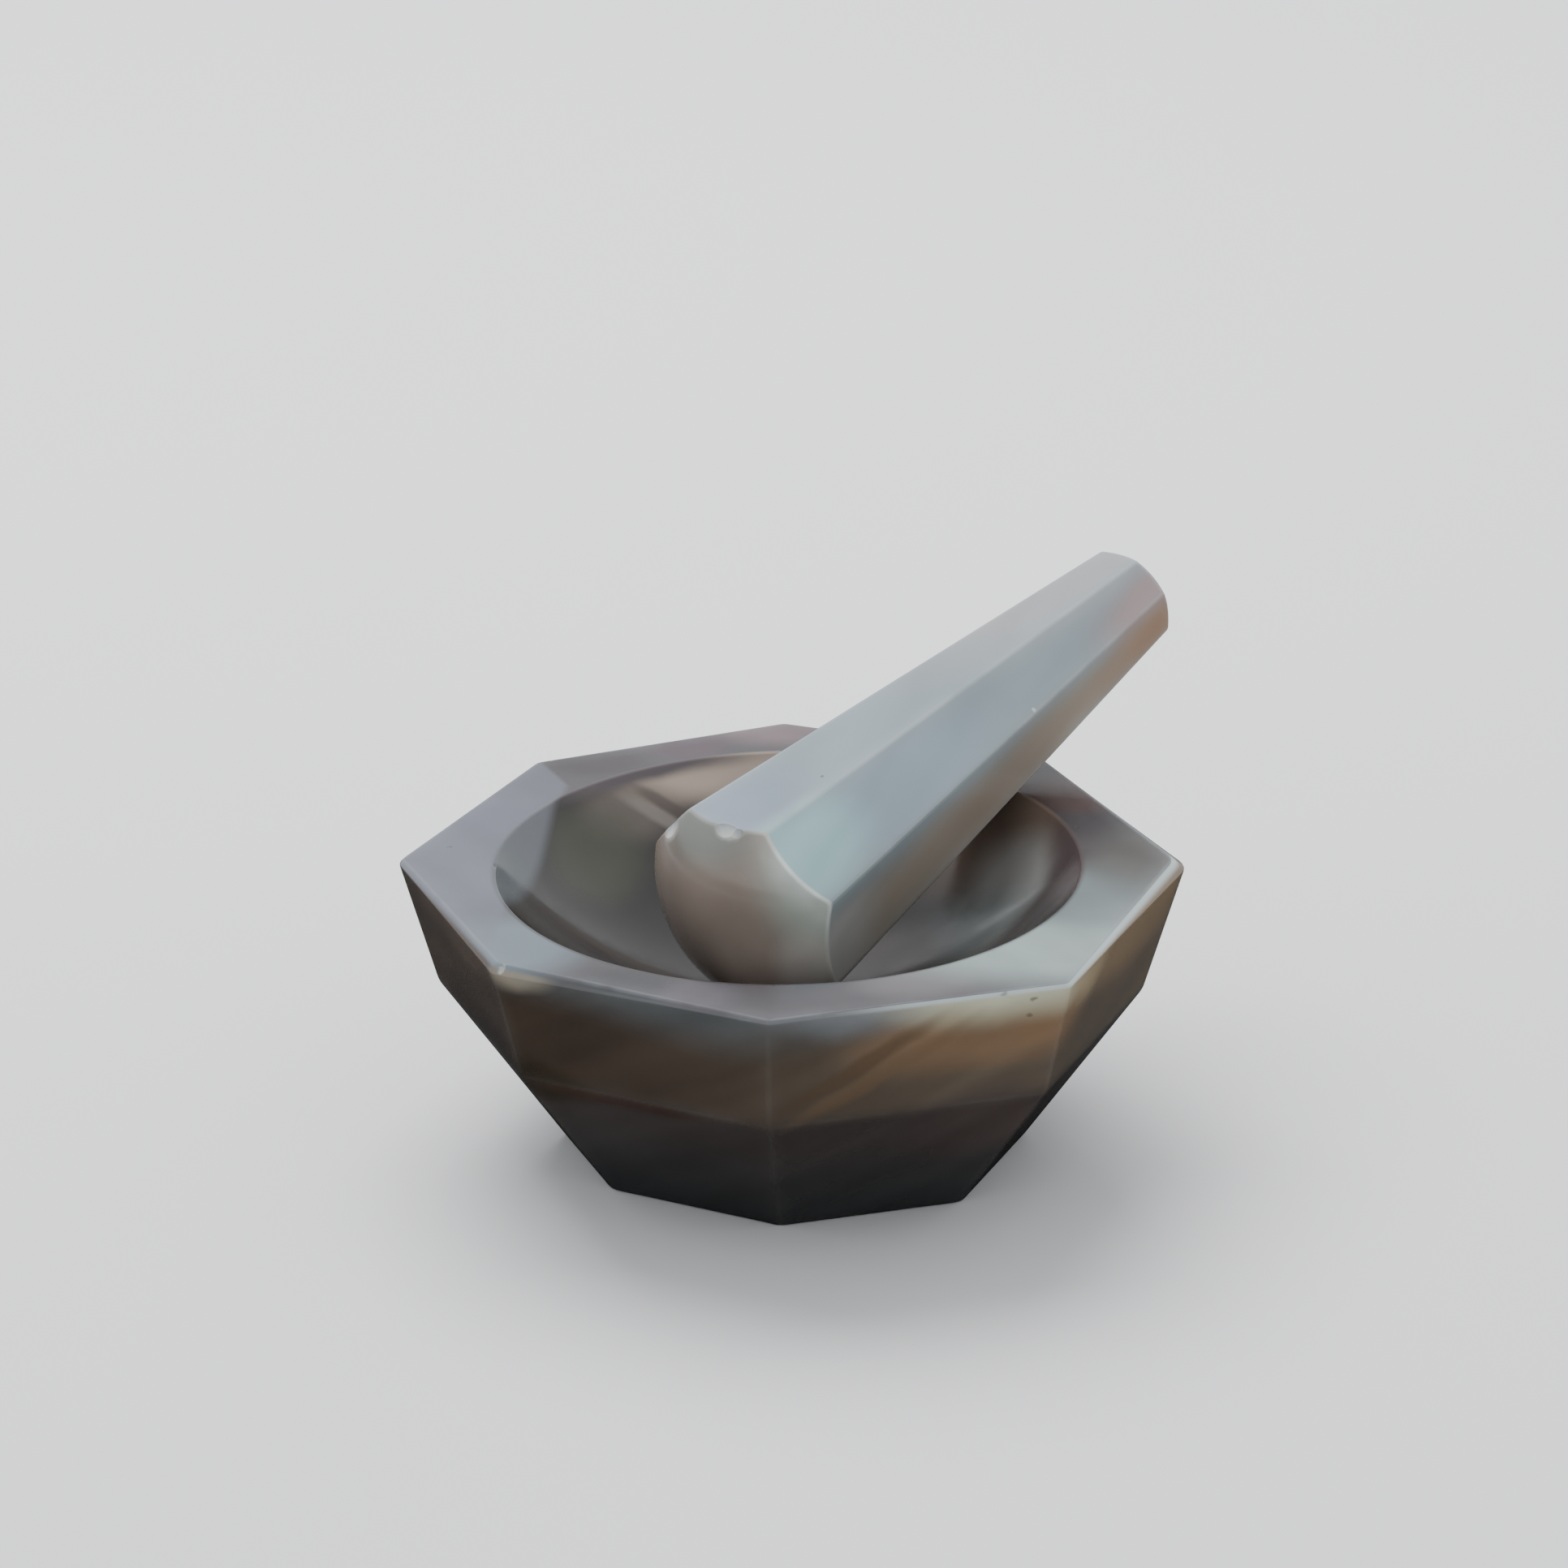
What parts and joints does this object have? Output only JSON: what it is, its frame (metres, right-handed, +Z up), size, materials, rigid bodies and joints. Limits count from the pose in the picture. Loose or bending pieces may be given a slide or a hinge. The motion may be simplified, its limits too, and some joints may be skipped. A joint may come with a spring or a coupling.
{
  "type": "mortar and pestle",
  "caption": "Octagonal polished agate lab mortar with a round bowl and a tapering octagonal agate pestle resting in it.",
  "frame": {"origin": "centre of the mortar's foot on the table, on the bowl's axis", "axes": "+Z up along the bowl's axis; -Y towards the front, with one corner of the octagon nearly at -Y; the pestle's hand end leans up towards +X and +Y"},
  "size_m": [0.1104, 0.1086, 0.0686],
  "materials": {
    "mortar_agate": "polished banded agate",
    "pestle_agate": "polished banded agate"
  },
  "bodies": {
    "mortar": {"mortar": "mortar_agate"},
    "pestle": {"pestle": "pestle_agate"}
  },
  "joints": [
    {"name": "pestle_stir", "type": "hinge", "parent": "mortar", "child": "pestle", "pos_m": [0, 0, 0.0418], "axis": [0, 0, 1], "continuous": true}
  ]
}
